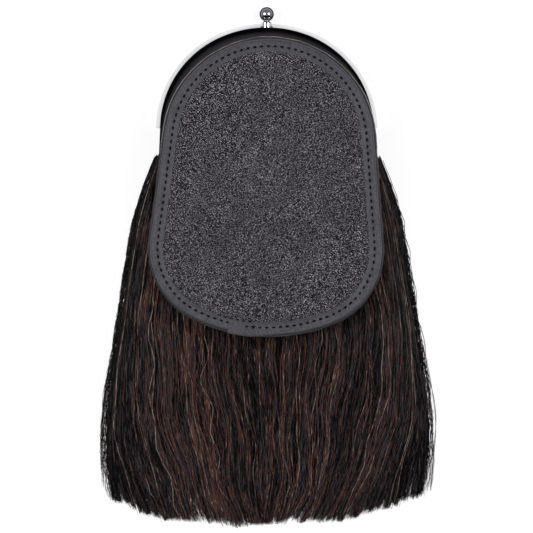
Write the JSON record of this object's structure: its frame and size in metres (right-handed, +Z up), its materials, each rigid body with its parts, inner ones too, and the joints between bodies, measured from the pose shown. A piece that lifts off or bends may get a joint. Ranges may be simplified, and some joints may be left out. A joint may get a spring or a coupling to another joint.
{
  "type": "horsehair dress sporran pouch",
  "caption": "Dress sporran pouch lying face down: bound pebbled leather back, hollow leather pouch, chrome arch with a ball, and long horsehair",
  "frame": {"origin": "centre of the object's box on the surface that it lies on", "axes": "+Z up out of the leather back, +Y towards the ball at the sporran's top, +X to the right as its back is looked at"},
  "size_m": [0.2278, 0.3554, 0.0525],
  "materials": {
    "chrome": "polished chrome plate",
    "smooth_leather": "smooth black leather",
    "pebbled_leather": "black leather with a fine pebbled grain",
    "horse_hair": "long straight horsehair, black to dark brown"
  },
  "bodies": {
    "root": {"cantle": "chrome", "finial": "chrome", "front_wall": "smooth_leather", "gusset": "smooth_leather", "back_wall": "smooth_leather", "back_flap": "pebbled_leather", "flap_binding": "smooth_leather", "hair": "horse_hair"}
  },
  "joints": []
}
